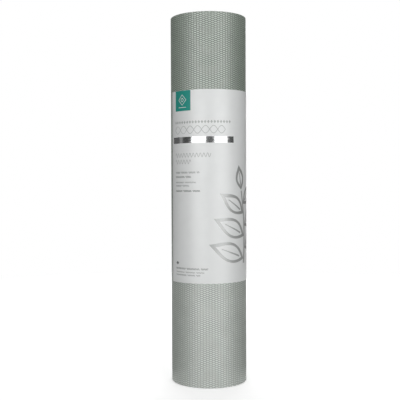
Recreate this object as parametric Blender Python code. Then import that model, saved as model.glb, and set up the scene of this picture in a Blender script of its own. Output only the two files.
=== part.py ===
"""A rolled exercise mat standing on end in its card wrap, modelled in metres with +Z up.

The mat is a foam sheet laminated from three layers and wound on itself. The card goes round
most of the roll, bridges the step at the sheet's outer end, and is held by two strips of tape.
The origin is the centre of the box's base, and the card's free edge is at the front left.
"""

import math

import bmesh
import bpy
import numpy as np

# The sheet, laid flat
MAT_LENGTH = 1.730
MAT_WIDTH = 0.610
FOAM_THICKNESS = 0.00255
SCRIM_THICKNESS = 0.0003
LAYER_CLEARANCE = 0.0003
SCRIM_INSET = 0.0005

# The roll
CORE_RADIUS = 0.016
TURN_GAP = 0.0007
OUTER_END_BEARING = math.radians(90)
STEPS_PER_TURN = 64
SHORTEST_STEP_SHARE = 0.25

# The card wrap, whose length is measured along its inner face
CARD_LENGTH = 0.342
CARD_HEIGHT = 0.3143
CARD_THICKNESS = 0.0004
CARD_FOOT_HEIGHT = 0.1706
CARD_CLEARANCE = 0.0003
CARD_EDGE_BEARING = math.radians(-159.5)
OVERLAP_RAMP = math.radians(20)

# The double-sided tape under both ends of the card
TAPE_WIDTH = 0.012
TAPE_THICKNESS = 0.0002
TAPE_EDGE_INSET = 0.003
TAPE_END_INSET = 0.012

SMOOTH_ANGLE = math.radians(30)


def clear_scene():
    for obj in list(bpy.data.objects):
        bpy.data.objects.remove(obj, do_unlink=True)


def make_material(name, colour, roughness, metallic=0.0):
    material = bpy.data.materials.new(name)
    material.use_nodes = True
    shader = material.node_tree.nodes["Principled BSDF"]
    shader.inputs["Base Color"].default_value = (*colour, 1.0)
    shader.inputs["Roughness"].default_value = roughness
    shader.inputs["Metallic"].default_value = metallic
    return material


def make_empty(name, place, parent=None):
    empty = bpy.data.objects.new(name, None)
    bpy.context.collection.objects.link(empty)
    empty.parent = parent
    empty.location = place
    return empty


def raise_band(name, inner, outer, height, material, parent, place):
    """A closed band between two lines of equal length seen from above, raised to a height."""
    mesh = bpy.data.meshes.new(name)
    work = bmesh.new()
    inner_verts = [work.verts.new((x, y, 0)) for x, y in inner]
    outer_verts = [work.verts.new((x, y, 0)) for x, y in outer]
    for i in range(len(inner) - 1):
        corners = (inner_verts[i], inner_verts[i + 1], outer_verts[i + 1], outer_verts[i])
        work.faces.new(corners)
    base = list(work.faces)
    raised = bmesh.ops.extrude_face_region(work, geom=base, use_keep_orig=True)
    lifted = [item for item in raised["geom"] if isinstance(item, bmesh.types.BMVert)]
    bmesh.ops.translate(work, verts=lifted, vec=(0, 0, height))
    bmesh.ops.recalc_face_normals(work, faces=work.faces)
    work.to_mesh(mesh)
    work.free()
    mesh.shade_smooth()
    mesh.set_sharp_from_angle(angle=SMOOTH_ANGLE)
    mesh.materials.append(material)
    obj = bpy.data.objects.new(name, mesh)
    bpy.context.collection.objects.link(obj)
    obj.parent = parent
    obj.location = place
    return obj


# The winding: a flat spiral whose radius grows by one sheet and one gap in each turn


def sheet_thickness():
    return 2 * (FOAM_THICKNESS + LAYER_CLEARANCE) + SCRIM_THICKNESS


def turn_pitch():
    return sheet_thickness() + TURN_GAP


def wound_angle():
    """How far the sheet winds, from the length of the line through the middle of its thickness."""
    start = CORE_RADIUS + sheet_thickness() / 2
    growth = turn_pitch() / math.tau
    return (math.sqrt(start**2 + 2 * growth * MAT_LENGTH) - start) / growth


def winding_angles():
    """Even steps back from the outer end, so that the facets of all turns lie side by side."""
    total = wound_angle()
    step = math.tau / STEPS_PER_TURN
    whole_steps = int(total / step - SHORTEST_STEP_SHARE)
    return np.append(np.arange(whole_steps + 1) * step, total)


def spiral_line(angles, depth):
    """Points at a depth in the sheet, measured outwards from its inner face."""
    radii = CORE_RADIUS + depth + turn_pitch() * (wound_angle() - angles) / math.tau
    bearings = OUTER_END_BEARING + angles
    return np.stack([radii * np.cos(bearings), radii * np.sin(bearings)], axis=1)


def least_turn_gap(angles):
    """The least gap between one turn's outer face and the next turn's inner face."""
    outer_face = spiral_line(angles[STEPS_PER_TURN:], sheet_thickness())
    inner_face = spiral_line(angles[: len(angles) - STEPS_PER_TURN], 0)
    apart = outer_face[:, None, :] - inner_face[None, :, :]
    return float(np.sqrt((apart**2).sum(axis=2)).min())


# The card's route: round the roll's outline, straight across the step at the outer end


def convex_outline(points):
    """The corners of the tightest convex loop round the points, anticlockwise."""
    ordered = sorted(map(tuple, points))

    def half(run):
        kept = []
        for x, y in run:
            while len(kept) > 1:
                (ax, ay), (bx, by) = kept[-2:]
                if (bx - ax) * (y - ay) - (by - ay) * (x - ax) > 0:
                    break
                kept.pop()
            kept.append((x, y))
        return kept[:-1]

    return np.array(half(ordered) + half(reversed(ordered)))


def side_normals(points):
    """The outward normal of each straight side of an anticlockwise line."""
    along = np.diff(points, axis=0)
    along /= np.linalg.norm(along, axis=1)[:, None]
    return np.stack([along[:, 1], -along[:, 0]], axis=1)


def grown(points, distance):
    """The line moved outwards, with mitred corners, by one distance or by one for each point."""
    normals = side_normals(points)
    middle = np.vstack([normals[:1], normals]) + np.vstack([normals, normals[-1:]])
    reach = 2 * distance / (middle**2).sum(axis=1)
    return points + middle * reach[:, None]


def card_route(roll_outline, lift):
    """Two laps of the roll from the card's free edge; a card longer than one lap climbs onto
    its own start."""
    bearings = np.arctan2(roll_outline[:, 1], roll_outline[:, 0])
    turned = (bearings - CARD_EDGE_BEARING) % math.tau
    corners = roll_outline[np.argsort(turned)]
    turned.sort()
    laps = np.vstack([corners[-1:], corners, corners])
    travelled = np.concatenate([turned[-1:] - math.tau, turned, turned + math.tau])
    climbed = np.clip(1 + (travelled - math.tau) / OVERLAP_RAMP, 0, 1)
    line = grown(laps, lift + climbed * (CARD_THICKNESS + card_lift()))
    across = np.array([-math.sin(CARD_EDGE_BEARING), math.cos(CARD_EDGE_BEARING)])
    before, after = line[:2] @ across
    edge = line[0] + (line[1] - line[0]) * before / (before - after)
    return np.vstack([edge, line[1:]])


def stretch(line, start, end):
    """The piece of a line between two distances along it."""
    sides = np.linalg.norm(np.diff(line, axis=0), axis=1)
    along = np.append(0, np.cumsum(sides))
    inside = line[(along > start) & (along < end)]
    ends = [[np.interp(at, along, line[:, i]) for i in range(2)] for at in (start, end)]
    return np.vstack([ends[0], inside, ends[1]])


def wrap_lines(roll_outline, lift, thickness, start, end):
    """The inner and outer lines of something thin that follows the card's route."""
    inner = stretch(card_route(roll_outline, lift), start, end)
    return inner, grown(inner, thickness)


def card_lift():
    return CARD_CLEARANCE + TAPE_THICKNESS + CARD_CLEARANCE


def tape_spans():
    """Where each tape starts and ends along the card."""
    front = TAPE_EDGE_INSET
    back = CARD_LENGTH - TAPE_EDGE_INSET - TAPE_WIDTH
    return {
        "edge_tape": (front, front + TAPE_WIDTH),
        "back_tape": (back, back + TAPE_WIDTH),
    }


def build_mat(angles, axis_place):
    roll = make_empty("mat_roll", axis_place)
    face_depth = FOAM_THICKNESS + 2 * LAYER_CLEARANCE + SCRIM_THICKNESS
    scrim_depth = FOAM_THICKNESS + LAYER_CLEARANCE
    sage = make_material("sage_foam", (0.36, 0.39, 0.35), 0.7)
    reverse_sage = make_material("reverse_foam", (0.33, 0.36, 0.32), 0.75)
    polyester = make_material("polyester_mesh", (0.72, 0.72, 0.69), 0.8)
    layers = (
        ("reverse_foam_layer", 0, FOAM_THICKNESS, 0, reverse_sage),
        ("reinforcing_scrim", scrim_depth, SCRIM_THICKNESS, SCRIM_INSET, polyester),
        ("face_foam_layer", face_depth, FOAM_THICKNESS, 0, sage),
    )
    for name, depth, thickness, inset, material in layers:
        inner = spiral_line(angles, depth)
        outer = spiral_line(angles, depth + thickness)
        height = MAT_WIDTH - 2 * inset
        raise_band(name, inner, outer, height, material, roll, (0, 0, inset))


def build_card(roll_outline, axis_place):
    """The card and its tapes hang from an empty on the roll's axis, along which they slide off."""
    slide = make_empty("card_slide", axis_place)
    white_card = make_material("white_card", (0.8, 0.81, 0.8), 0.45)
    clear_tape = make_material("clear_tape", (0.75, 0.75, 0.7), 0.4)
    lines = wrap_lines(roll_outline, card_lift(), CARD_THICKNESS, 0, CARD_LENGTH)
    foot = (0, 0, CARD_FOOT_HEIGHT)
    raise_band("card_wrap", *lines, CARD_HEIGHT, white_card, slide, foot)
    tape_foot = (0, 0, CARD_FOOT_HEIGHT + TAPE_END_INSET)
    tape_height = CARD_HEIGHT - 2 * TAPE_END_INSET
    for name, span in tape_spans().items():
        lines = wrap_lines(roll_outline, CARD_CLEARANCE, TAPE_THICKNESS, *span)
        raise_band(name, *lines, tape_height, clear_tape, slide, tape_foot)


def box_centre(roll_outline):
    """The middle of the box that holds the roll and the card, seen from above."""
    card = wrap_lines(roll_outline, card_lift(), CARD_THICKNESS, 0, CARD_LENGTH)[1]
    seen = np.vstack([roll_outline, card])
    return (seen.min(axis=0) + seen.max(axis=0)) / 2


def main():
    clear_scene()
    angles = winding_angles()
    print(f"least gap between turns: {least_turn_gap(angles) * 1000:.2f} mm")
    outer_turn = spiral_line(angles[: STEPS_PER_TURN + 1], sheet_thickness())
    roll_outline = convex_outline(outer_turn)
    centre = box_centre(roll_outline)
    axis_place = (-centre[0], -centre[1], 0)
    build_mat(angles, axis_place)
    build_card(roll_outline, axis_place)


main()
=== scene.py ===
"""Looks of a rolled exercise mat that stands on end in its printed card wrap."""

import math

import bpy
import numpy as np
from mathutils import Matrix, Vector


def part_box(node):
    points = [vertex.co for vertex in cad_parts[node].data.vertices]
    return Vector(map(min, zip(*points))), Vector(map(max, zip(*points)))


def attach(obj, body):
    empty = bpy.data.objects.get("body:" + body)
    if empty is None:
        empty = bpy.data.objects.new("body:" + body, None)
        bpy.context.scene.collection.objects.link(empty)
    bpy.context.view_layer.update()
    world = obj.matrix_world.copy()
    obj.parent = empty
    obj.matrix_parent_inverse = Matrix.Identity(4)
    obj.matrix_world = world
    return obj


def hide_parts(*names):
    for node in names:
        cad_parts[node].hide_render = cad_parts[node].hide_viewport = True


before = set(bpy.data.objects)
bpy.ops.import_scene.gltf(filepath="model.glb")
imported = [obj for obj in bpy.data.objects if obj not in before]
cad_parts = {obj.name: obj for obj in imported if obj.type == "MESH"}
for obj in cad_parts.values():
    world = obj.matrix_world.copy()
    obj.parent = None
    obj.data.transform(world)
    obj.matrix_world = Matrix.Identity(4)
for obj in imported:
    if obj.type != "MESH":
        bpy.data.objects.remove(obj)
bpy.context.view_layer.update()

# The view: the roll stands a little right of the middle of a square picture, seen almost level
# from 1.25 m away with a long lens at about half its height, so that neither cut end shows.
CAMERA_PLACE = (-0.0006, -1.2471, 0.3364)
CAMERA_TURN_LEFT = 0.0118
CAMERA_TILT_DOWN = 0.0254
CAMERA_LEAN = -0.0036
LENS_MM = 65.97
SENSOR_MM = 36.0
camera = bpy.data.objects.new("camera", bpy.data.cameras.new("camera"))
bpy.context.collection.objects.link(camera)
camera.data.lens = LENS_MM
camera.data.sensor_width = SENSOR_MM
camera.matrix_world = (
    Matrix.Translation(CAMERA_PLACE)
    @ Matrix.Rotation(CAMERA_TURN_LEFT, 4, "Z")
    @ Matrix.Rotation(math.pi / 2 - CAMERA_TILT_DOWN, 4, "X")
    @ Matrix.Rotation(CAMERA_LEAN, 4, "Z")
)
bpy.context.scene.camera = camera


# The reverse foam: the sheet's inner side, 2.5 mm of closed-cell foam with a smooth skin. The
# whole sheet, 1.73 m long and 6 mm thick, is wound from a 32 mm core and ends at the back.
MAT_LENGTH = 1.73
FOAM_THICKNESS = 0.00255
SCRIM_THICKNESS = 0.0003
BOND_GAP = 0.0003
SHEET_THICKNESS = 2 * (FOAM_THICKNESS + BOND_GAP) + SCRIM_THICKNESS
TURN_GAP = 0.0007
TURN_PITCH = SHEET_THICKNESS + TURN_GAP
CORE_RADIUS = 0.016
OUTER_END_BEARING = math.radians(90)
GROWTH = TURN_PITCH / math.tau
CORE_LINE = CORE_RADIUS + SHEET_THICKNESS / 2
WOUND = (math.sqrt(CORE_LINE**2 + 2 * GROWTH * MAT_LENGTH) - CORE_LINE) / GROWTH
OUTER_RADIUS = CORE_RADIUS + SHEET_THICKNESS + GROWTH * WOUND
CUT_ROUNDING = 0.00045
END_DRIFT = 0.0007
INNER_END_DRIFT = 0.0018
SLOW_DRIFT = 0.83
QUICK_DRIFT = 2.2
TURN_STEP = math.radians(2)
SHARP_ANGLE = math.radians(60)
SKIN_SIDES = (3, 7)
NOISE_LOW, NOISE_HIGH = 0.3, 0.7
MOTTLE_SCALE = 35
SHEEN_SCALE = 240
GRAIN_SCALE = 2600
GRAIN_DEPTH = 0.0001
CELL_SCALE = 3200
CELL_DEPTH = 0.0002

face_low, face_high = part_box("face_foam_layer")
MAT_WIDTH = face_high.z - face_low.z
roll_axis = np.array([face_low.x + OUTER_RADIUS - TURN_PITCH / 4, face_high.y - OUTER_RADIUS])


def on_roll(turned, depth):
    """Plan points of the wound sheet: how far back from its outer end, and how far out."""
    radius = CORE_RADIUS + depth + GROWTH * (WOUND - turned)
    bearing = OUTER_END_BEARING + turned
    return np.stack([radius * np.cos(bearing), radius * np.sin(bearing)], axis=-1) + roll_axis


def top_height(turned):
    """The upper cut end isn't quite level, least of all inside the outer turn, because the sheet
    was wound by hand."""
    drift = 0.5 + 0.25 * np.sin(SLOW_DRIFT * turned) + 0.25 * np.sin(QUICK_DRIFT * turned + 1)
    inside = np.clip(turned / math.tau - 1, 0, 1)
    return MAT_WIDTH - (END_DRIFT + (INNER_END_DRIFT - END_DRIFT) * inside) * drift


def mesh_piece(name, points, faces, materials, is_cut=None):
    """A smooth-shaded piece with sharp cut edges; faces in is_cut take the second material."""
    mesh = bpy.data.meshes.new(name)
    mesh.from_pydata(np.asarray(points).tolist(), [], faces)
    mesh.update()
    mesh.shade_smooth()
    mesh.set_sharp_from_angle(angle=SHARP_ANGLE)
    for material in materials:
        mesh.materials.append(material)
    if is_cut is not None:
        mesh.polygons.foreach_set("material_index", np.asarray(is_cut, dtype=np.int32))
    piece = bpy.data.objects.new(name, mesh)
    bpy.context.collection.objects.link(piece)
    return piece


def wind_layer(name, depth, thickness, inset, turned, materials):
    """One layer of the sheet along the given angles, with its cut edges slightly rounded. Two
    sides of its eight-sided section are its skins, and the others are cut."""
    edge = min(CUT_ROUNDING, thickness / 3)
    inner, outer = depth, depth + thickness
    profile = [
        (inner, edge), (inner + edge, 0), (outer - edge, 0), (outer, edge),
        (outer, -edge), (outer - edge, 0), (inner + edge, 0), (inner, -edge),
    ]
    tops = top_height(turned) - inset
    rings = []
    for i, (at_depth, rise) in enumerate(profile):
        height = tops + rise if i > 3 else np.full(len(turned), inset + rise)
        rings.append(np.column_stack([on_roll(turned, at_depth), height]))
    around, along = len(profile), len(turned)
    points = np.stack(rings, axis=1).reshape(-1, 3)
    faces, is_cut = [list(range(around))], [1]
    for i in range(along - 1):
        for j in range(around):
            k = (j + 1) % around
            here, there = i * around, (i + 1) * around
            faces.append([here + j, there + j, there + k, here + k])
            is_cut.append(int(j not in SKIN_SIDES))
    faces.append([along * around - 1 - j for j in range(around)])
    is_cut.append(1)
    return mesh_piece(name, points, faces, materials, is_cut)


def noise_between(tree, scale, low, high, detail=4.0):
    """A noise in object space whose values spread between two numbers."""
    place = tree.nodes.new("ShaderNodeTexCoord")
    noise = tree.nodes.new("ShaderNodeTexNoise")
    spread = tree.nodes.new("ShaderNodeMapRange")
    noise.inputs["Scale"].default_value = scale
    noise.inputs["Detail"].default_value = detail
    spread.inputs["From Min"].default_value = NOISE_LOW
    spread.inputs["From Max"].default_value = NOISE_HIGH
    spread.inputs["To Min"].default_value = low
    spread.inputs["To Max"].default_value = high
    tree.links.new(place.outputs["Object"], noise.inputs["Vector"])
    tree.links.new(noise.outputs["Fac"], spread.inputs["Value"])
    return spread.outputs["Result"]


def shade_by(tree, colour, amount):
    """A colour, given or from a node, made lighter and darker by a value from a node."""
    tone = tree.nodes.new("ShaderNodeHueSaturation")
    if isinstance(colour, tuple):
        tone.inputs["Color"].default_value = (*colour, 1.0)
    else:
        tree.links.new(colour, tone.inputs["Color"])
    tree.links.new(amount, tone.inputs["Value"])
    return tone.outputs["Color"]


def roughen(tree, shader, scale, strength, distance):
    """Fine relief from a noise in object space."""
    bump = tree.nodes.new("ShaderNodeBump")
    bump.inputs["Strength"].default_value = strength
    bump.inputs["Distance"].default_value = distance
    tree.links.new(noise_between(tree, scale, 0.0, 1.0), bump.inputs["Height"])
    tree.links.new(bump.outputs["Normal"], shader.inputs["Normal"])


def new_material(name):
    material = bpy.data.materials.new(name)
    material.use_nodes = True
    return material, material.node_tree, material.node_tree.nodes["Principled BSDF"]


def foam_skin(name, colour):
    """The moulded skin of the foam: matt, faintly mottled, with a fine leathery grain."""
    material, tree, shader = new_material(name)
    mottled = shade_by(tree, colour, noise_between(tree, MOTTLE_SCALE, 0.93, 1.07))
    tree.links.new(mottled, shader.inputs["Base Color"])
    tree.links.new(noise_between(tree, SHEEN_SCALE, 0.56, 0.68), shader.inputs["Roughness"])
    roughen(tree, shader, GRAIN_SCALE, 0.35, GRAIN_DEPTH)
    return material


def cut_foam(name, colour):
    """A knife-cut edge: open cells about a third of a millimetre across, very matt."""
    material, tree, shader = new_material(name)
    place = tree.nodes.new("ShaderNodeTexCoord")
    cells = tree.nodes.new("ShaderNodeTexVoronoi")
    cells.inputs["Scale"].default_value = CELL_SCALE
    tree.links.new(place.outputs["Object"], cells.inputs["Vector"])
    # Each cell is painted darker towards its middle, where its bump sinks: painted shade in the
    # cell's hollow.
    depth = tree.nodes.new("ShaderNodeMapRange")
    depth.inputs["From Max"].default_value = 0.7
    depth.inputs["To Min"].default_value = 0.8
    depth.inputs["To Max"].default_value = 1.08
    tree.links.new(cells.outputs["Distance"], depth.inputs["Value"])
    tree.links.new(shade_by(tree, colour, depth.outputs["Result"]), shader.inputs["Base Color"])
    tree.links.new(noise_between(tree, 900, 0.8, 0.95), shader.inputs["Roughness"])
    bump = tree.nodes.new("ShaderNodeBump")
    bump.inputs["Strength"].default_value = 0.5
    bump.inputs["Distance"].default_value = CELL_DEPTH
    tree.links.new(cells.outputs["Distance"], bump.inputs["Height"])
    tree.links.new(bump.outputs["Normal"], shader.inputs["Normal"])
    return material


all_turned = np.append(np.arange(0, WOUND, TURN_STEP), WOUND)
reverse_materials = [
    foam_skin("reverse_foam_skin", (0.42, 0.45, 0.40)),
    cut_foam("reverse_foam_cut", (0.62, 0.655, 0.605)),
]
reverse = wind_layer("reverse_foam", 0, FOAM_THICKNESS, 0, all_turned, reverse_materials)
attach(reverse, "mat_roll")
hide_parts("reverse_foam_layer")


# The scrim: a polyester mesh, 0.3 mm thick, laid flat between the two foams and cut with them.
# Only its pale edge shows, as a line of thread ends in both cut ends of the roll.
SCRIM_INSET = 0.0005
THREADS_PER_METRE = 1400


def thread_mesh(name, colour, gap_colour):
    """Thread ends along the cut, told apart from the glue that fills the mesh."""
    material, tree, shader = new_material(name)
    place = tree.nodes.new("ShaderNodeTexCoord")
    threads = tree.nodes.new("ShaderNodeTexVoronoi")
    threads.inputs["Scale"].default_value = THREADS_PER_METRE
    tree.links.new(place.outputs["Object"], threads.inputs["Vector"])
    mix = tree.nodes.new("ShaderNodeMix")
    mix.data_type = "RGBA"
    mix.inputs["A"].default_value = (*colour, 1.0)
    mix.inputs["B"].default_value = (*gap_colour, 1.0)
    tree.links.new(threads.outputs["Distance"], mix.inputs["Factor"])
    tree.links.new(mix.outputs["Result"], shader.inputs["Base Color"])
    tree.links.new(noise_between(tree, 1200, 0.6, 0.85), shader.inputs["Roughness"])
    return material


scrim_materials = [thread_mesh("scrim_threads", (0.74, 0.74, 0.70), (0.46, 0.48, 0.44))] * 2
scrim = wind_layer(
    "scrim", FOAM_THICKNESS + BOND_GAP, SCRIM_THICKNESS, SCRIM_INSET, all_turned, scrim_materials
)
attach(scrim, "mat_roll")
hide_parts("reinforcing_scrim")


# The face foam's inner turns: the same sheet's outer side, hidden in the roll but for its cut
# edge, which shows as the darker half of each turn at both ends.
FACE_DEPTH = FOAM_THICKNESS + 2 * BOND_GAP + SCRIM_THICKNESS
face_skin = foam_skin("face_foam_skin", (0.40, 0.44, 0.39))
face_cut = cut_foam("face_foam_cut", (0.38, 0.43, 0.37))
PAD_COLUMNS = 83
PAD_PITCH = 0.00482
FINE_STEP = math.radians(0.25)
FINE_OVERLAP = math.radians(10)
fine_turned = np.arange(0, math.tau + FINE_OVERLAP, FINE_STEP)
fine_line = on_roll(fine_turned, SHEET_THICKNESS)
fine_along = np.append(0, np.cumsum(np.linalg.norm(np.diff(fine_line, axis=0), axis=1)))
column_turned = np.interp(np.arange(PAD_COLUMNS + 1) * PAD_PITCH, fine_along, fine_turned)
embossed_end = column_turned[-1]
inner_turned = np.append(np.arange(embossed_end, WOUND, TURN_STEP), WOUND)
inner_face = wind_layer(
    "face_foam_inner_turns", FACE_DEPTH, FOAM_THICKNESS, 0, inner_turned, [face_skin, face_cut]
)
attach(inner_face, "mat_roll")


# The face foam's outer turn: embossed with small raised pads in staggered columns, which give
# the grip. The pads are low domes that reach between each other, halved at both cut ends.
PAD_ROWS = 181
PAD_SIDES = 6
PAD_RELIEF = 0.0004
PAD_HALF_WIDTH = 0.0028
PAD_SHOULDER = 0.0012
PAD_HALF_HEIGHT = 0.0010
PAD_RIM_SHARE = 0.88
VALLEY_SWING = 0.0008
END_MARGIN = 0.0004
PAD_CROWN_POWER = 2.4
VALLEY_ROUGHNESS = 0.52
SKIN_IOR = 1.98


def pad_field(first, last, heights):
    """The embossed skin between two valley lines, with the sheet's back and cut edges. The
    valleys swing left and right round the pads' tips."""
    levels, lines = len(heights), np.arange(first, last + 1)
    swing = np.where(np.add.outer(lines, np.arange(levels)) % 2 == 0, 1, -1) * VALLEY_SWING
    swing[(lines == 0) | (lines == PAD_COLUMNS)] = 0
    per_metre = (column_turned[1] - column_turned[0]) / PAD_PITCH
    valley_turned = column_turned[lines][:, None] + swing * per_metre
    places = on_roll(valley_turned.ravel(), SHEET_THICKNESS - PAD_RELIEF)
    points = [np.column_stack([places, np.tile(heights, len(lines))])]
    raised = [np.zeros(len(lines) * levels)]
    faces, is_cut = [], []
    across = np.array([-PAD_HALF_WIDTH, -PAD_SHOULDER, PAD_SHOULDER, PAD_HALF_WIDTH,
                       PAD_SHOULDER, -PAD_SHOULDER, 0])
    up = PAD_HALF_HEIGHT * np.array([0, -1, -1, 0, 1, 1, 0])
    depth = SHEET_THICKNESS - PAD_RELIEF * (1 - PAD_RIM_SHARE) * np.array([1] * PAD_SIDES + [0])
    reach = PAD_PITCH / 2 - END_MARGIN
    free = len(lines) * levels
    for column in range(first, last):
        middle = (column_turned[column] + column_turned[column + 1]) / 2
        least = -reach if column == 0 else -PAD_HALF_WIDTH
        most = reach if column == PAD_COLUMNS - 1 else PAD_HALF_WIDTH
        plan = on_roll(middle + np.clip(across, least, most) * per_metre, depth)
        left = (column - first) * levels
        right = left + levels
        for level in range((column + 1) % 2, levels, 2):
            pad_heights = np.clip(heights[level] + up, heights[0], heights[-1])
            points.append(np.column_stack([plan, pad_heights]))
            raised.append([PAD_RIM_SHARE] * PAD_SIDES + [1.0])
            low, high = max(level - 1, 0), min(level + 1, levels - 1)
            valley = [left + level, left + low, right + low,
                      right + level, right + high, left + high]
            for j in range(PAD_SIDES):
                k = (j + 1) % PAD_SIDES
                corners = [valley[j], valley[k], free + k, free + j]
                faces.append(list(dict.fromkeys(corners)))
                faces.append([free + j, free + k, free + PAD_SIDES])
                ends = (level == 0 and j < 3) or (level == levels - 1 and j > 2)
                is_cut += [int(ends)] * 2
            free += PAD_SIDES + 1
    back = on_roll(column_turned[lines], FACE_DEPTH)
    for height in (heights[0], heights[-1]):
        points.append(np.column_stack([back, np.full(len(lines), height)]))
    raised.append(np.zeros(2 * len(lines)))
    foot, head = free, free + len(lines)
    for i in range(len(lines) - 1):
        near, far = i * levels, (i + 1) * levels
        faces.append([foot + i, foot + i + 1, far, near])
        faces.append([near + levels - 1, far + levels - 1, head + i + 1, head + i])
        faces.append([head + i, head + i + 1, foot + i + 1, foot + i])
        is_cut += [1, 1, 0]
    last_line, last_foot = (len(lines) - 1) * levels, head - 1
    for k in range(levels - 1):
        faces.append([foot, k, k + 1])
        faces.append([last_foot, last_line + k + 1, last_line + k])
    faces.append([foot, levels - 1, head])
    faces.append([last_foot, last_foot + len(lines), last_line + levels - 1])
    is_cut += [1] * (2 * levels)
    return np.vstack(points), faces, is_cut, np.concatenate(raised)


def rising(tree, share, low, high):
    """A value that goes from low to high as the share goes from 0 to 1. Both may be from nodes."""
    spread = tree.nodes.new("ShaderNodeMapRange")
    for name, value in (("To Min", low), ("To Max", high)):
        if isinstance(value, float):
            spread.inputs[name].default_value = value
        else:
            tree.links.new(value, spread.inputs[name])
    tree.links.new(share, spread.inputs["Value"])
    return spread.outputs["Result"]


def embossed_skin(name, upper_colours, lower_colours, fade_foot, fade_head):
    """The foam skin again, very matt but on the crowns of its pads. Each pair of colours is for
    valley and crown; the valley colours are painted shade between the pads, and the mat is paler
    towards its lower edge."""
    material, tree, shader = new_material(name)
    place = tree.nodes.new("ShaderNodeTexCoord")
    axes = tree.nodes.new("ShaderNodeSeparateXYZ")
    fade = tree.nodes.new("ShaderNodeMapRange")
    fade.inputs["From Min"].default_value = fade_foot
    fade.inputs["From Max"].default_value = fade_head
    tree.links.new(place.outputs["Object"], axes.inputs["Vector"])
    tree.links.new(axes.outputs["Z"], fade.inputs["Value"])
    # How high a point sits on its pad: the lower it sits, the more the colour turns to the painted
    # valley shade.
    height = tree.nodes.new("ShaderNodeAttribute")
    height.attribute_name = "pad_height"
    crown = tree.nodes.new("ShaderNodeMath")
    crown.operation = "POWER"
    crown.inputs[1].default_value = PAD_CROWN_POWER
    tree.links.new(height.outputs["Fac"], crown.inputs[0])
    toned = []
    for low, high in (lower_colours, upper_colours):
        mix = tree.nodes.new("ShaderNodeMix")
        mix.data_type = "RGBA"
        mix.inputs["A"].default_value = (*low, 1.0)
        mix.inputs["B"].default_value = (*high, 1.0)
        tree.links.new(crown.outputs["Value"], mix.inputs["Factor"])
        toned.append(mix.outputs["Result"])
    blend = tree.nodes.new("ShaderNodeMix")
    blend.data_type = "RGBA"
    tree.links.new(fade.outputs["Result"], blend.inputs["Factor"])
    tree.links.new(toned[0], blend.inputs["A"])
    tree.links.new(toned[1], blend.inputs["B"])
    mottled = shade_by(tree, blend.outputs["Result"], noise_between(tree, MOTTLE_SCALE, 0.94, 1.06))
    tree.links.new(mottled, shader.inputs["Base Color"])
    matt = tree.nodes.new("ShaderNodeMath")
    tree.links.new(noise_between(tree, SHEEN_SCALE, 0.28, 0.36), matt.inputs[0])
    tree.links.new(rising(tree, crown.outputs["Value"], VALLEY_ROUGHNESS, 0.0), matt.inputs[1])
    tree.links.new(matt.outputs["Value"], shader.inputs["Roughness"])
    shader.inputs["Specular IOR Level"].default_value = 1.0
    shader.inputs["IOR"].default_value = SKIN_IOR
    roughen(tree, shader, GRAIN_SCALE, 0.3, GRAIN_DEPTH)
    return material


embossed = embossed_skin(
    "embossed_skin",
    # The first colour of each pair is the painted shade in the valleys, far darker than the crown.
    upper_colours=((0.015, 0.02, 0.015), (0.285, 0.363, 0.285)),
    lower_colours=((0.20, 0.22, 0.20), (0.53, 0.58, 0.53)),
    fade_foot=0.14,
    fade_head=0.34,
)
row_heights = np.linspace(0, float(top_height(np.array(0.0))), 2 * PAD_ROWS + 1)
halves = ((0, PAD_COLUMNS // 2), (PAD_COLUMNS // 2, PAD_COLUMNS))
face_pieces = [inner_face]
for side, (first, last) in zip(("left", "right"), halves):
    points, faces, is_cut, raised = pad_field(first, last, row_heights)
    turn = mesh_piece(f"face_foam_outer_turn_{side}", points, faces, [embossed, face_cut], is_cut)
    turn.data.attributes.new("pad_height", "FLOAT", "POINT").data.foreach_set("value", raised)
    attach(turn, "mat_roll")
    face_pieces.append(turn)
for piece in face_pieces:
    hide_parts("face_foam_layer")


# The card wrap: one piece of thin board, white and satin-coated outside, bare inside. It goes
# round from its free edge at the front left to the back left and bridges the mat's outer end.
CARD_LIFT = 0.00018
CARD_THICKNESS = 0.0003
CARD_LENGTH = 0.342
CARD_EDGE_BEARING = math.radians(-159.5)
CARD_SWELL = 0.0001
SWELL_WAVES = ((31, 9, 0), (-14, 23, 2))
CARD_ROWS = 40
CARD_STEP = math.radians(1.5)
EARLIEST_BRIDGE = math.tau * 0.75
BRIDGE_SHARES = np.linspace(0.1, 0.9, 9)[:, None]
TAPED_END = 0.017
TAPED_RAMP = 0.020
TAPED_RISE = 0.00042
SKEW = 0.006
SKEW_MIDDLE = 0.095

card_low, card_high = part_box("card_wrap")


def grown(points, distance):
    """A line moved outwards, with mitred corners."""
    along = np.diff(points, axis=0)
    along /= np.linalg.norm(along, axis=1)[:, None]
    normals = np.stack([along[:, 1], -along[:, 0]], axis=1)
    middle = np.vstack([normals[:1], normals]) + np.vstack([normals, normals[-1:]])
    return points + middle * (2 * distance / (middle**2).sum(axis=1))[:, None]


def card_face_line():
    """The plan of the card's printed face from its free edge: the roll's outline, then straight
    across the step to the sheet's outer end, then the outline again."""
    edge_turned = (CARD_EDGE_BEARING - OUTER_END_BEARING) % math.tau
    first_part = np.arange(edge_turned, math.tau, CARD_STEP)
    points = on_roll(first_part, SHEET_THICKNESS)
    corner = on_roll(np.array([0.0]), SHEET_THICKNESS)
    away = points - corner
    lean = np.arctan2(away[:, 0], -away[:, 1])
    lean[first_part < EARLIEST_BRIDGE] = -math.inf
    leaves = int(np.argmax(lean))
    bridge = points[leaves] + (corner - points[leaves]) * BRIDGE_SHARES
    rest = on_roll(np.arange(0, edge_turned, CARD_STEP), SHEET_THICKNESS)
    line = np.vstack([points[: leaves + 1], bridge, rest])
    return grown(line, CARD_LIFT + CARD_THICKNESS)


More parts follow.
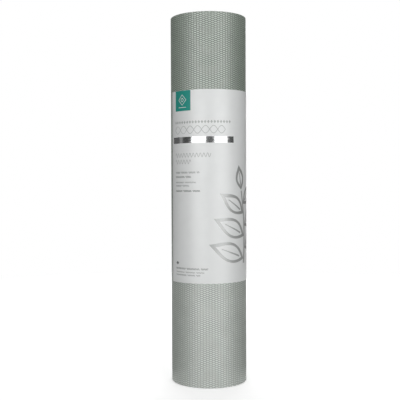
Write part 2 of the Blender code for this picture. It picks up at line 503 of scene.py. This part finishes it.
card_line = card_face_line()
card_sides = np.linalg.norm(np.diff(card_line, axis=0), axis=1)
card_along = np.append(0, np.cumsum(card_sides))
card_normals = grown(card_line, 1.0) - card_line
card_normals /= np.linalg.norm(card_normals, axis=1)[:, None]


def on_card(along, up, lift):
    """Points on the card: along from its free edge, up from its foot, and out from its face. It
    swells slightly, stands off where its ends are taped, and was wrapped very slightly askew."""
    along, up = np.broadcast_arrays(np.asarray(along, float), np.asarray(up, float))
    waves = sum(np.sin(a * along + b * up + start) for a, b, start in SWELL_WAVES)
    from_end = np.minimum(along, CARD_LENGTH - along)
    taped = np.clip(1 - (from_end - TAPED_END) / TAPED_RAMP, 0, 1)
    plan = [np.interp(along, card_along, card_line[:, i]) for i in range(2)]
    out = [np.interp(along, card_along, card_normals[:, i]) for i in range(2)]
    reach = CARD_SWELL * waves / 2 + TAPED_RISE * taped + lift
    height = card_low.z + up + SKEW * (along - SKEW_MIDDLE)
    return np.stack([plan[0] + out[0] * reach, plan[1] + out[1] * reach, height], axis=-1)


def card_patch(name, near, far, across, lift, thickness, materials, is_closed=False):
    """A thin closed solid on the card between two lines of (along, up) points."""
    near, far = np.asarray(near, float), np.asarray(far, float)
    shares = np.linspace(0, 1, across + 1)[:, None]
    flat = near[:, None, :] * (1 - shares) + far[:, None, :] * shares
    count, width = flat.shape[:2]
    top = on_card(flat[..., 0], flat[..., 1], lift + thickness).reshape(-1, 3)
    bottom = on_card(flat[..., 0], flat[..., 1], lift).reshape(-1, 3)
    under = count * width
    faces, is_back = [], []
    for i in range(count if is_closed else count - 1):
        here, there = i * width, (i + 1) % count * width
        for j in range(width - 1):
            faces.append([here + j, there + j, there + j + 1, here + j + 1])
            faces.append([under + here + j + 1, under + there + j + 1,
                          under + there + j, under + here + j])
        faces.append([there, here, under + here, under + there])
        faces.append([here + width - 1, there + width - 1,
                      under + there + width - 1, under + here + width - 1])
        is_back += [0, 1] * (width - 1) + [0, 0]
    if not is_closed:
        last = (count - 1) * width
        for j in range(width - 1):
            faces.append([j, j + 1, under + j + 1, under + j])
            faces.append([last + j + 1, last + j, under + last + j, under + last + j + 1])
            is_back += [0, 0]
    return mesh_piece(name, np.vstack([top, bottom]), faces, materials, is_back)


def satin_board(name, colour):
    """Coated board: white, smooth, with a soft sheen and the faintest print mottle."""
    material, tree, shader = new_material(name)
    mottled = shade_by(tree, colour, noise_between(tree, 60, 0.985, 1.015))
    tree.links.new(mottled, shader.inputs["Base Color"])
    tree.links.new(noise_between(tree, 400, 0.34, 0.42), shader.inputs["Roughness"])
    roughen(tree, shader, 1500, 0.12, 0.00004)
    return material


def bare_board(name, colour):
    """The uncoated side: greyer, fibrous and matt."""
    material, tree, shader = new_material(name)
    fibrous = shade_by(tree, colour, noise_between(tree, 700, 0.94, 1.05))
    tree.links.new(fibrous, shader.inputs["Base Color"])
    tree.links.new(noise_between(tree, 900, 0.8, 0.92), shader.inputs["Roughness"])
    roughen(tree, shader, 900, 0.3, 0.0001)
    return material


CARD_HEIGHT = card_high.z - card_low.z
card_stations = np.append(card_along[card_along < CARD_LENGTH], CARD_LENGTH)
card_materials = [
    satin_board("satin_board", (0.82, 0.835, 0.83)),
    bare_board("bare_board", (0.66, 0.65, 0.62)),
]
card = card_patch(
    "printed_card",
    [(s, 0) for s in card_stations],
    [(s, CARD_HEIGHT) for s in card_stations],
    CARD_ROWS,
    -CARD_THICKNESS,
    CARD_THICKNESS,
    card_materials,
)
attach(card, "card")
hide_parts("card_wrap")


# The tapes: two strips of clear double-sided tape that hold the card's ends to the mat. They
# keep their solids, and take a glossy, faintly cloudy film.
def clear_film(name, colour):
    material, tree, shader = new_material(name)
    cloudy = shade_by(tree, colour, noise_between(tree, 300, 0.92, 1.06))
    tree.links.new(cloudy, shader.inputs["Base Color"])
    tree.links.new(noise_between(tree, 500, 0.2, 0.35), shader.inputs["Roughness"])
    roughen(tree, shader, 800, 0.1, 0.00005)
    return material


film = clear_film("tape_film", (0.72, 0.72, 0.66))
for node in ("edge_tape", "back_tape"):
    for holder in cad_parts[node].material_slots:
        holder.material = film


# The coloured block: teal ink printed to the card's top edge near its free edge, with a plain
# diamond in a diamond over a short rule left unprinted in it.
INK_LIFT = 0.00002
OVER_INK_LIFT = 3 * INK_LIFT
INK_THICKNESS = 0.00002
BLOCK_LEFT = 0.0131
BLOCK_RIGHT = 0.0464
BLOCK_DROP = 0.0333
TRIM_GAP = 0.0002
CURVE_STEP = 0.0015


def ink(name, colour, roughness=(0.34, 0.44)):
    """Offset ink on coated board: even in tone, with the board's own soft sheen."""
    material, tree, shader = new_material(name)
    even = shade_by(tree, colour, noise_between(tree, 500, 0.97, 1.03))
    tree.links.new(even, shader.inputs["Base Color"])
    tree.links.new(noise_between(tree, 400, *roughness), shader.inputs["Roughness"])
    return material


def print_between(name, near, far, across, material, lift=INK_LIFT, is_closed=False):
    """A layer of ink or foil between two lines of (along, up) points on the card."""
    materials = [material, material]
    piece = card_patch(name, near, far, across, lift, INK_THICKNESS, materials, is_closed)
    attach(piece, "card")


def print_bar(name, left, right, foot, head, material, lift=INK_LIFT, across=1):
    """A printed rectangle, cut across often enough to follow the card's curve."""
    stations = np.linspace(left, right, max(2, int((right - left) / CURVE_STEP) + 1))
    low, high = [(s, foot) for s in stations], [(s, head) for s in stations]
    print_between(name, low, high, across, material, lift)


teal_ink = ink("teal_ink", (0.012, 0.285, 0.235))
white_ink = ink("unprinted_white", (0.83, 0.845, 0.84))
print_bar("teal_block", BLOCK_LEFT, BLOCK_RIGHT, CARD_HEIGHT - BLOCK_DROP,
          CARD_HEIGHT - TRIM_GAP, teal_ink, across=6)
BLOCK_MIDDLE = (BLOCK_LEFT + BLOCK_RIGHT) / 2
MARK_LEVEL = CARD_HEIGHT - 0.0155
MARK_HALF_WIDTH = 0.0078
MARK_HALF_HEIGHT = 0.0085
MARK_LINE = 0.0008
MARK_SIZES = (("outer", 1.0), ("inner", 0.38))
RULE_HALF_WIDTH = 0.008
RULE_FOOT = CARD_HEIGHT - 0.0281
RULE_HEAD = CARD_HEIGHT - 0.0272


def printed_line(name, points, widths, material, lift=INK_LIFT, is_closed=False):
    """A line of the given widths drawn through (along, up) points on the card."""
    points = np.asarray(points, float)
    if is_closed:
        along = np.roll(points, -1, axis=0) - np.roll(points, 1, axis=0)
    else:
        along = np.gradient(points, axis=0)
    side = np.column_stack([-along[:, 1], along[:, 0]])
    side *= (np.broadcast_to(widths, len(points)) / 2 / np.linalg.norm(side, axis=1))[:, None]
    across = math.ceil(np.max(widths) / CURVE_STEP)
    print_between(name, points - side, points + side, across, material, lift, is_closed)


for name, size in MARK_SIZES:
    corners = np.array([(1, 0), (0, 1), (-1, 0), (0, -1), (1, 0)])
    side = np.linspace(0, 1, 10, endpoint=False)[:, None]
    round_it = np.vstack([a + (b - a) * side for a, b in zip(corners[:-1], corners[1:])])
    points = (BLOCK_MIDDLE, MARK_LEVEL) + size * round_it * (MARK_HALF_WIDTH, MARK_HALF_HEIGHT)
    printed_line(f"block_mark_{name}", points, MARK_LINE, white_ink, OVER_INK_LIFT, is_closed=True)
print_bar("block_rule", BLOCK_MIDDLE - RULE_HALF_WIDTH, BLOCK_MIDDLE + RULE_HALF_WIDTH, RULE_FOOT,
          RULE_HEAD, white_ink, OVER_INK_LIFT)


# The fine print: rows of thin grey scribbles of word-like lengths, as on a layout sheet, below
# the headings and near the card's foot, where a small dark lozenge stands over them.
WORD_GAP = 0.0024
LEFT_MARGIN = 0.0133
SHORTEST_WORD = 0.45
SCRIBBLE_LENGTH = 0.0026
WAVE_POINTS = 20
LEAST_WAVE_POINTS = 8
FOOT_LOZENGE_PLACE = (0.0172, 0.0322)
FOOT_LOZENGE_SIZE = (0.0076, 0.0058)
LOZENGE_TIP = 1e-5
grey_ink = ink("grey_ink", (0.33, 0.34, 0.335))
pale_ink = ink("pale_ink", (0.47, 0.485, 0.475))
dark_ink = ink("dark_ink", (0.16, 0.17, 0.165))
word_lengths = np.random.default_rng(7)


def wave(name, left, right, level, length, height, line, material):
    """A sine wave that starts and ends on its middle line. A negative height starts downwards."""
    count = max(LEAST_WAVE_POINTS, int((right - left) / length * WAVE_POINTS))
    along = np.linspace(left, right, count)
    swing = np.sin((along - left) / length * math.tau)
    points = np.column_stack([along, level + height / 2 * swing])
    printed_line(name, points, line, material)


def word_row(name, level, height, line, right, material, longest):
    """One row of scribbled words between the left margin and right, the longest as given."""
    start, number = LEFT_MARGIN, 0
    while start < right - WORD_GAP:
        length = min(word_lengths.uniform(SHORTEST_WORD, 1.0) * longest, right - start)
        if right - (start + length) < 2 * WORD_GAP:
            length = right - start
        end = start + length
        wave(f"{name}_{number}", start, end, level, SCRIBBLE_LENGTH, height, line, material)
        start += length + WORD_GAP
        number += 1


# Each row has its name, level, height, line width, right end, ink and longest word.
PRINT_ROWS = (
    ("note_a", 0.1805, 0.0028, 0.0007, 0.0613, grey_ink, 0.014),
    ("note_b", 0.1734, 0.0028, 0.0008, 0.0467, grey_ink, 0.034),
    ("note_c", 0.1644, 0.0020, 0.0006, 0.0556, grey_ink, 0.043),
    ("note_d", 0.1590, 0.0020, 0.0007, 0.0429, grey_ink, 0.016),
    ("note_e", 0.1505, 0.0020, 0.0008, 0.0624, dark_ink, 0.026),
    ("foot_a", 0.0235, 0.0026, 0.0008, 0.0752, grey_ink, 0.032),
    ("foot_b", 0.0177, 0.0016, 0.0006, 0.0690, grey_ink, 0.020),
    ("foot_c", 0.0130, 0.0018, 0.0007, 0.0624, grey_ink, 0.024),
)
for name, level, height, line, right, material, longest in PRINT_ROWS:
    word_row(name, level, height, line, right, material, longest)


def lozenge(name, middle, size, material):
    """A printed diamond, a plain filler ornament, very slightly blunt at its two side tips."""
    along, up = middle
    half, rise = size[0] / 2, size[1] / 2
    tip = up + LOZENGE_TIP
    low = [(along - half, up), (along, up - rise), (along + half, up)]
    high = [(along - half, tip), (along, up + rise), (along + half, tip)]
    print_between(name, low, high, 1, material)


lozenge("foot_lozenge", FOOT_LOZENGE_PLACE, FOOT_LOZENGE_SIZE, dark_ink)


# The headings: a band of small lozenges over two tall thin waves that cross each other, and two
# rows of a wavy line below the foil bar.
BAND_LEFT, BAND_RIGHT, BAND_LEVEL = 0.0140, 0.1180, 0.2622
BAND_STEP = 0.0052
BAND_LOZENGE_SIZE = (0.0042, 0.0054)
for i, along in enumerate(np.arange(BAND_LEFT, BAND_RIGHT, BAND_STEP)):
    lozenge(f"band_lozenge_{i}", (along, BAND_LEVEL), BAND_LOZENGE_SIZE, pale_ink)
HEADING_LINE = 0.0009
TITLE_LEFT, TITLE_RIGHT, TITLE_LEVEL = 0.0125, 0.1048, 0.2498
TITLE_HEIGHT = 0.0122
TITLE_LENGTH = (TITLE_RIGHT - TITLE_LEFT) / 3.5
for i, height in enumerate((TITLE_HEIGHT, -TITLE_HEIGHT)):
    wave(f"title_wave_{i}", TITLE_LEFT, TITLE_RIGHT, TITLE_LEVEL, TITLE_LENGTH, height,
         HEADING_LINE, pale_ink)
SUBHEADING_LEFT = 0.0135
SUBHEADING_LENGTH = 0.0060
SUBHEADING_HEIGHT = 0.0064
SUBHEADINGS = (("subheading_a", 0.0804, 0.2087), ("subheading_b", 0.0465, 0.1980))
for name, right, level in SUBHEADINGS:
    wave(name, SUBHEADING_LEFT, right, level, SUBHEADING_LENGTH, SUBHEADING_HEIGHT,
         HEADING_LINE, pale_ink)


# The foil: a hot-stamped silver bar under the tall waves, pressed on over the ink. It mirrors
# the studio: softboxes white, flags dark.
FOIL_LIFT = 0.00004
BAR_LEFT = 0.0062
BAR_RIGHT = 0.1207
BAR_FOOT = 0.2284
BAR_HEAD = 0.2385


def stamped_foil(name):
    """Bright silver foil whose mirror is slightly broken by the board's grain."""
    material, tree, shader = new_material(name)
    silver = shade_by(tree, (0.52, 0.53, 0.53), noise_between(tree, 120, 0.97, 1.03))
    tree.links.new(silver, shader.inputs["Base Color"])
    shader.inputs["Metallic"].default_value = 1.0
    tree.links.new(noise_between(tree, 500, 0.14, 0.20), shader.inputs["Roughness"])
    roughen(tree, shader, 350, 0.05, 0.00005)
    return material


foil = stamped_foil("silver_foil")
print_bar("foil_bar", BAR_LEFT, BAR_RIGHT, BAR_FOOT, BAR_HEAD, foil, FOIL_LIFT, across=2)


# The sprig: a large leafy ornament on the right side of the wrap, printed in silver ink. The
# ink holds metal flakes, so it is greyer and more matt than the foil.
SPRIG_FOOT = (0.148, 0.030)
SPRIG_HEAD = (0.140, 0.150)
SPRIG_BOW = 0.006
STEM_WIDTH = 0.0054
OUTLINE_WIDTH = 0.0042
VEIN_WIDTH = 0.0028
LEAF_GAP = 0.0018
LEAF_CENTRE_SHARE = 0.42
LEAF_LEAN = 0.88
LEAF_SHARPNESS = 1.1
LEAF_POINTS = 34
VEIN_START, VEIN_END = 0.19, 0.70
VEIN_POINTS = 20
STEM_POINTS = 60
FLAKE_SCALE = 2400


def silver_ink(name, flake_colour, binder_colour):
    """Metal flakes in a clear binder: half metallic, speckled, with a broad sheen."""
    material, tree, shader = new_material(name)
    mix = tree.nodes.new("ShaderNodeMix")
    mix.data_type = "RGBA"
    mix.inputs["A"].default_value = (*binder_colour, 1.0)
    mix.inputs["B"].default_value = (*flake_colour, 1.0)
    tree.links.new(noise_between(tree, FLAKE_SCALE, 0.0, 1.0, detail=2.0), mix.inputs["Factor"])
    tree.links.new(mix.outputs["Result"], shader.inputs["Base Color"])
    shader.inputs["Metallic"].default_value = 0.5
    tree.links.new(noise_between(tree, 500, 0.38, 0.48), shader.inputs["Roughness"])
    roughen(tree, shader, FLAKE_SCALE, 0.10, 0.00004)
    return material


sprig_silver = silver_ink("sprig_silver", (0.46, 0.47, 0.465), (0.34, 0.345, 0.34))


def leaf_edges(root, tip, width, count):
    """The two edges of a leaf from its root to its tip, widest a little below the middle."""
    root, tip = np.asarray(root, float), np.asarray(tip, float)
    along = tip - root
    side = np.array([-along[1], along[0]]) / np.linalg.norm(along)
    shares = np.linspace(0, 1, count)
    swell = np.sin(math.pi * shares**LEAF_LEAN) ** LEAF_SHARPNESS * width / 2
    line = root + along * shares[:, None]
    return line + side * swell[:, None], line - side * swell[:, None]


def stem_point(share):
    """The stem bows gently to one side between its foot and its head."""
    foot, head = np.array(SPRIG_FOOT), np.array(SPRIG_HEAD)
    return foot + (head - foot) * share + np.array([SPRIG_BOW * math.sin(math.pi * share), 0])


def sprig_leaf(name, share, degrees, length, width):
    """A leaf drawn as an even outline, a smaller leaf left out of a larger one, with a vein that
    stops short of its tip."""
    way = np.array([math.cos(math.radians(degrees)), math.sin(math.radians(degrees))])
    root = stem_point(share) + way * LEAF_GAP
    near, far = leaf_edges(root, root + way * length, width, LEAF_POINTS)
    outer = np.vstack([near[:-1], far[:0:-1]])
    centre = root + way * length * LEAF_CENTRE_SHARE
    inner = centre + (outer - centre) * (1 - 2 * OUTLINE_WIDTH / width)
    across = math.ceil(OUTLINE_WIDTH / CURVE_STEP)
    print_between(f"{name}_outline", inner, outer, across, sprig_silver, is_closed=True)
    stations = np.linspace(VEIN_START, VEIN_END, VEIN_POINTS)
    vein = [root + way * length * along for along in stations]
    widths = np.linspace(VEIN_WIDTH, VEIN_WIDTH / 2, VEIN_POINTS)
    printed_line(f"{name}_vein", vein, widths, sprig_silver)


stem = [stem_point(share) for share in np.linspace(0, 1, STEM_POINTS)]
stem_widths = np.linspace(STEM_WIDTH, STEM_WIDTH / 2, STEM_POINTS)
printed_line("sprig_stem", stem, stem_widths, sprig_silver)
# Each leaf has its name, its share of the way up the stem, its angle, its length and its width.
SPRIG_LEAVES = (
    ("left_a", 0.06, 160, 0.075, 0.032),
    ("left_b", 0.37, 155, 0.071, 0.031),
    ("left_c", 0.68, 147, 0.061, 0.028),
    ("right_a", 0.20, 24, 0.067, 0.030),
    ("right_b", 0.51, 29, 0.061, 0.029),
    ("right_c", 0.81, 38, 0.049, 0.025),
    ("top", 1.0, 100, 0.041, 0.022),
)
for name, share, degrees, length, width in SPRIG_LEAVES:
    sprig_leaf(f"sprig_leaf_{name}", share, degrees, length, width)


# The studio: a white floor that keeps the roll's soft shadow and glows white further off,
# softboxes in front, behind and above, and dark flags, upright and on the floor, that only
# reflections see.
FLOOR_SIZE = 30.0
FLOOR_DROP = 0.0004


def seen_white(tree):
    """1 for rays that should meet a plain white background, and 0 for those that carry light."""
    path = tree.nodes.new("ShaderNodeLightPath")
    total = path.outputs["Is Camera Ray"]
    for name in ("Is Glossy Ray", "Is Transmission Ray"):
        either = tree.nodes.new("ShaderNodeMath")
        either.operation = "MAXIMUM"
        tree.links.new(total, either.inputs[0])
        tree.links.new(path.outputs[name], either.inputs[1])
        total = either.outputs["Value"]
    return total


FLOOR_COLOUR = 0.8
FLOOR_BOUNCE = 0.29
FLOOR_OWN_LIGHT = 0.43
FLOOR_NEAR = 0.5
FLOOR_FAR = 1.5
floor = mesh_piece(
    "floor",
    [(x * FLOOR_SIZE / 2, y * FLOOR_SIZE / 2, -FLOOR_DROP) for x, y in
     ((-1, -1), (1, -1), (1, 1), (-1, 1))],
    [[0, 1, 2, 3]],
    [],
)
material, tree, shader = new_material("white_floor")
place = tree.nodes.new("ShaderNodeTexCoord")
distance = tree.nodes.new("ShaderNodeVectorMath")
distance.operation = "LENGTH"
away = tree.nodes.new("ShaderNodeMapRange")
away.inputs["From Min"].default_value = FLOOR_NEAR
away.inputs["From Max"].default_value = FLOOR_FAR
tree.links.new(place.outputs["Object"], distance.inputs[0])
tree.links.new(distance.outputs["Value"], away.inputs["Value"])
lit_colour = rising(tree, away.outputs["Result"], FLOOR_COLOUR, 0.0)
own_light = rising(tree, away.outputs["Result"], FLOOR_OWN_LIGHT, 1.0)
floor_colour = rising(tree, seen_white(tree), FLOOR_BOUNCE, lit_colour)
floor_glow = rising(tree, seen_white(tree), 0.0, own_light)
tree.links.new(floor_colour, shader.inputs["Base Color"])
tree.links.new(floor_glow, shader.inputs["Emission Strength"])
shader.inputs["Emission Color"].default_value = (1.0, 1.0, 1.0, 1.0)
shader.inputs["Roughness"].default_value = 0.9
shader.inputs["Specular IOR Level"].default_value = 0.0
floor.data.materials.append(material)

world = bpy.data.worlds.new("white_room")
bpy.context.scene.world = world
world.use_nodes = True
tree = world.node_tree
room = tree.nodes["Background"]
ROOM_LIGHT = 0.03
room.inputs["Color"].default_value = (1.0, 1.0, 1.0, 1.0)
tree.links.new(rising(tree, seen_white(tree), ROOM_LIGHT, 1.0), room.inputs["Strength"])

STUDIO_RADIUS = 1.7


def softbox(name, bearing, width, height, middle, brightness, tilt=0.0, distance=STUDIO_RADIUS):
    """An area light at a bearing from the camera's side, facing the roll or tilted down. Its
    brightness is that of the box itself, where 1 is white."""
    light = bpy.data.lights.new(name, "AREA")
    light.shape = "RECTANGLE"
    light.size, light.size_y = width, height
    light.energy = brightness * math.pi * width * height
    lamp = bpy.data.objects.new(name, light)
    bpy.context.collection.objects.link(lamp)
    turn = math.radians(bearing)
    place = (distance * math.sin(turn), -distance * math.cos(turn), middle)
    lamp.matrix_world = (
        Matrix.Translation(place)
        @ Matrix.Rotation(turn, 4, "Z")
        @ Matrix.Rotation(math.pi / 2 - math.radians(tilt), 4, "X")
    )
    lamp.visible_camera = False
    return lamp


# Each softbox has its name, bearing, width, height, middle and brightness.
softbox("left_softbox", -30.5, 1.45, 1.00, 0.40, 2.85)
softbox("right_softbox", 40, 1.65, 1.00, 0.40, 2.87)
softbox("key_softbox", 3, 1.20, 0.80, 1.75, 1.1, tilt=40)
softbox("back_softbox", 180, 1.60, 1.36, 0.70, 4.6)
softbox("top_softbox", 0, 2.00, 2.00, 2.60, 2.0, tilt=90, distance=0.0)

FLAG_DISTANCE = 1.56
FLAG_HEIGHT = 1.6
FLAG_POINTS = 25
FLAT_REACH = (0.10, 0.8)
FLAT_LIFT = 0.0004


def flag(name, first, last, tone, is_flat=False):
    """A sheet between two bearings that only reflections see: upright, or flat on the floor."""
    material, tree, shader = new_material(f"{name}_cloth")
    shader.inputs["Base Color"].default_value = (0.0, 0.0, 0.0, 1.0)
    shader.inputs["Emission Color"].default_value = (1.0, 1.0, 1.0, 1.0)
    shader.inputs["Emission Strength"].default_value = tone
    bearings = np.radians(np.linspace(first, last, FLAG_POINTS))
    ring = np.column_stack([np.sin(bearings), -np.cos(bearings)])
    if is_flat:
        points = [(x * far, y * far, FLAT_LIFT) for x, y in ring for far in FLAT_REACH]
    else:
        around = ring * FLAG_DISTANCE
        points = [(x, y, z) for x, y in around for z in (0.0, FLAG_HEIGHT)]
    faces = [[2 * i, 2 * i + 2, 2 * i + 3, 2 * i + 1] for i in range(len(ring) - 1)]
    sheet = mesh_piece(name, points, faces, [material])
    sheet.visible_camera = False
    sheet.visible_diffuse = False
    sheet.visible_shadow = False


# Each flag has its name, its first and last bearing, and its tone.
flag("flag_far_left", -173, -92.5, 0.12)
flag("strip_left", -92.5, -80.5, 0.42)
flag("flag_left", -80.5, -51.5, 0.055)
flag("flag_middle", -9.5, 17.5, 0.10)
flag("flag_right", 56, 165, 0.06)
flag("flat_flag_left", -165, -42, 0.09, is_flat=True)
flag("flat_flag_right", 48, 165, 0.09, is_flat=True)

bpy.context.scene.view_settings.view_transform = "Standard"
